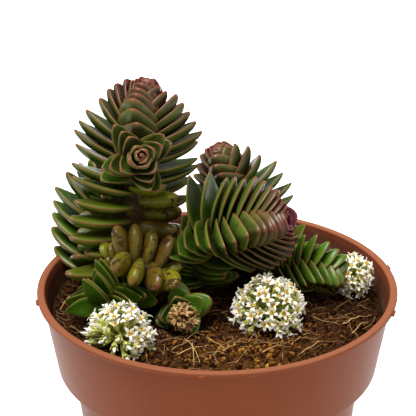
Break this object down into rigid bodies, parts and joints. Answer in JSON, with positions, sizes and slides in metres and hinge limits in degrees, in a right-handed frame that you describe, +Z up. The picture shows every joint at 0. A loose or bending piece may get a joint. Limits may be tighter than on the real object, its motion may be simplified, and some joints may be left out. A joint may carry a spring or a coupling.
{
  "type": "potted starburst crassula",
  "caption": "Potted succulent: stems of stacked paired leaves with domed tips and round white flower heads, rooted in soil in a round nursery pot with a banded rim.",
  "frame": {"origin": "centre of the pot's foot, on the surface it stands on", "axes": "+Z up the pot's axis, -Y towards the viewer of the picture, +X to the right of the picture"},
  "size_m": [0.14, 0.1406, 0.1876],
  "materials": {
    "pot": "satin terracotta brown",
    "soil": "loose crumbs of peat, bark and coir",
    "leaf": "waxy green with thin pinkish margins",
    "old_leaf": "waxy yellow-green with brown corky scars",
    "floret": "soft creamy white",
    "dried_floret": "dry, dull tan"
  },
  "bodies": {
    "root": {"pot": "pot", "soil": "soil", "stem_main": "leaf", "stem_front_rosette": "leaf", "stem_right_plume": "leaf", "stem_back_right": "leaf", "stem_back_left": "leaf", "stem_front_left": "leaf", "stem_small_front": "leaf", "stem_old_middle": "old_leaf", "stem_low_right": "leaf", "stem_back_small": "leaf", "flowers_front_right": "floret", "flowers_front_left": "floret", "flowers_right": "floret", "flowers_dried": "dried_floret"}
  },
  "joints": []
}
